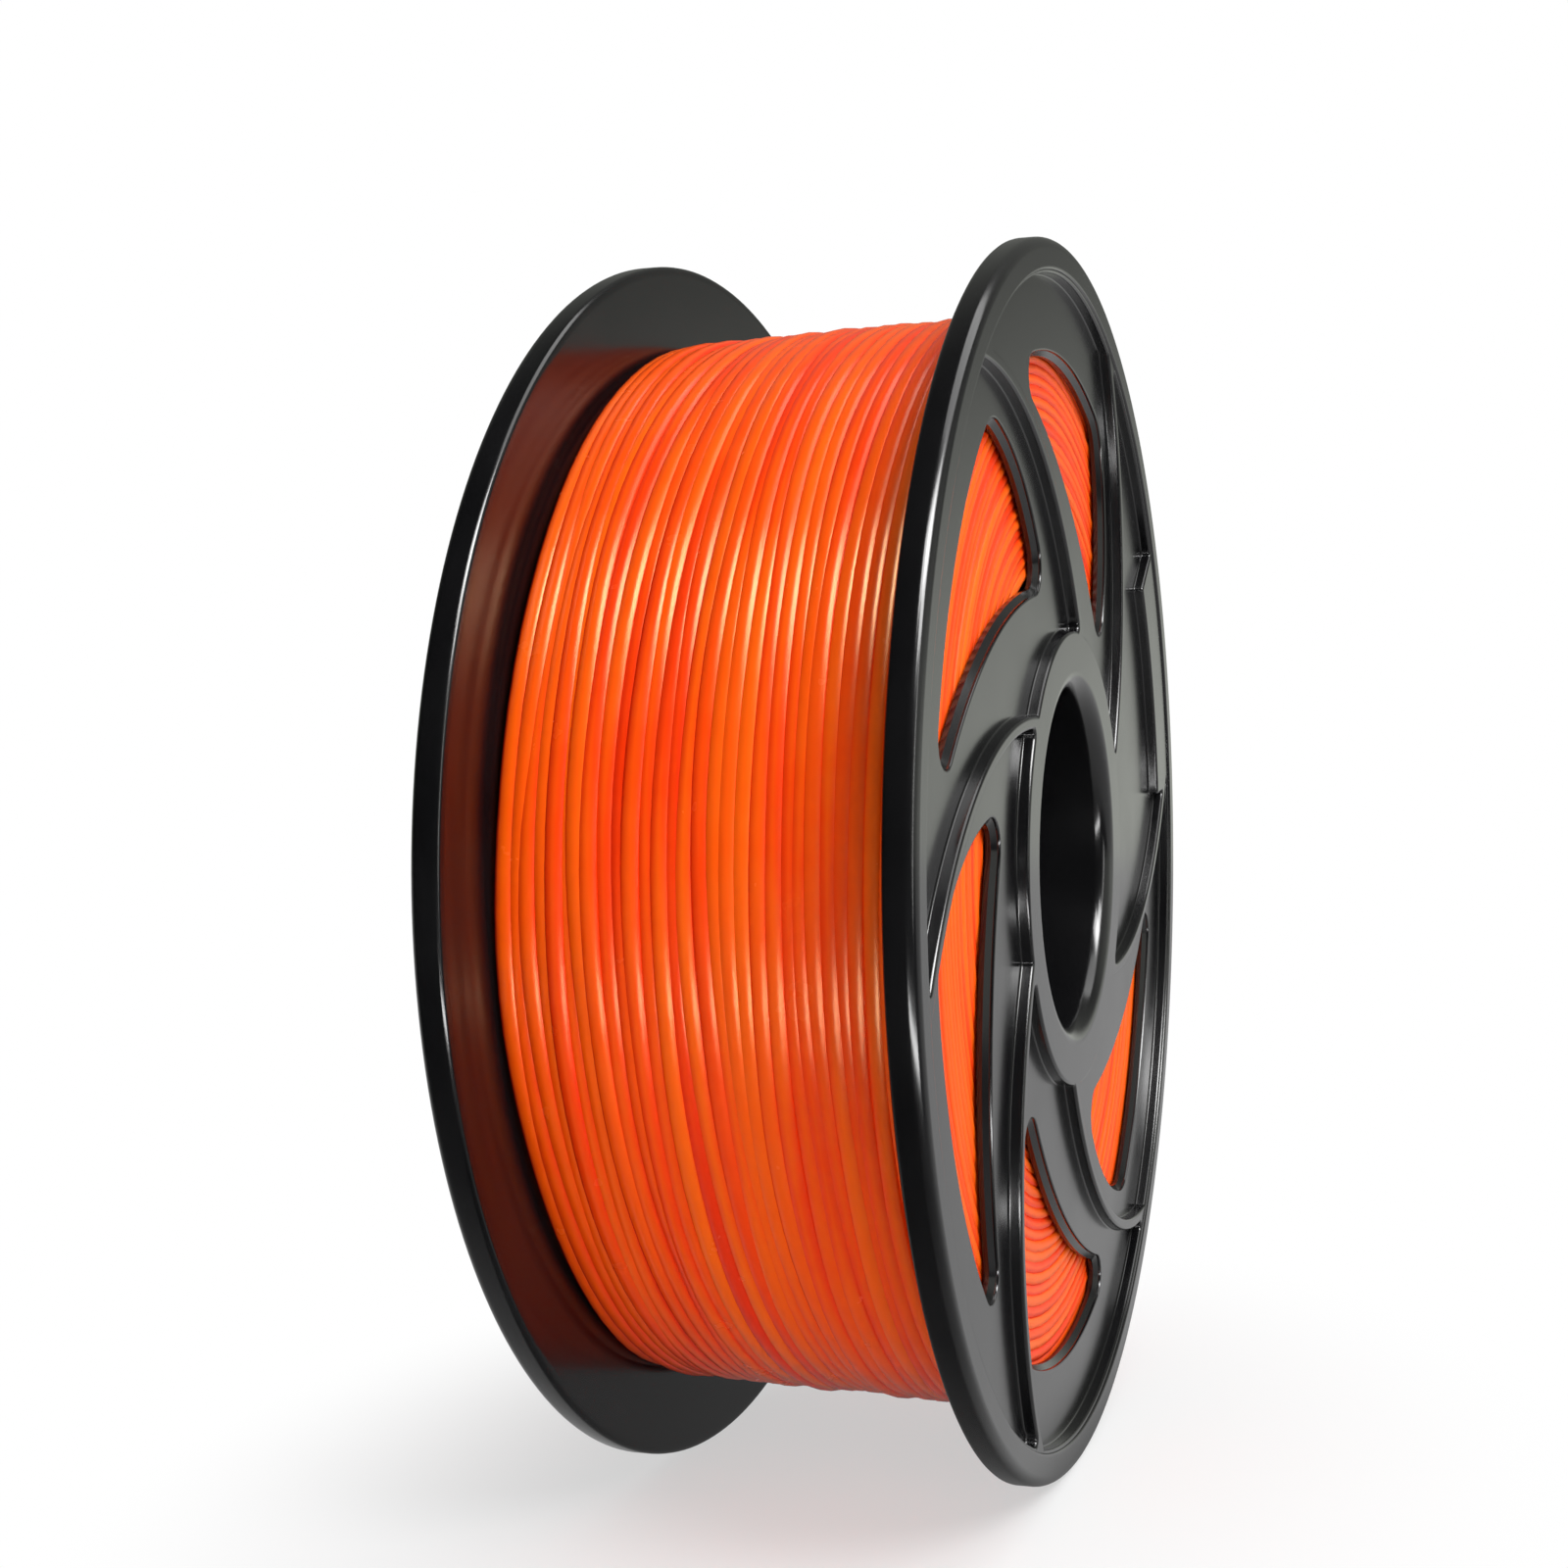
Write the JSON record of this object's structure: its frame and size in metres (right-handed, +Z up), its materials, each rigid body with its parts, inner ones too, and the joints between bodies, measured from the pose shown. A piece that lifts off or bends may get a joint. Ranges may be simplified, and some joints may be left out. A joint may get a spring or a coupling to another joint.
{
  "type": "filament spool",
  "caption": "Round spool of orange 3-D printer filament: two black moulded flanges with swirl vanes and windows, a hub with a through bore, and the wound filament.",
  "frame": {"origin": "centre of the spool, on the bore's axis midway between the outer faces of the two rims", "axes": "+Y along the bore's axis from the near flange to the far one, +Z up when the spool stands on its rims, +X to the right as seen from outside the near flange"},
  "size_m": [0.2, 0.068, 0.2],
  "materials": {
    "spool_plastic": "glossy black moulded polystyrene",
    "filament": "satin orange PLA filament"
  },
  "bodies": {
    "root": {"near_flange_half": "spool_plastic", "far_flange_half": "spool_plastic", "filament_inner_layers": "filament", "filament_outer_layer": "filament"}
  },
  "joints": []
}
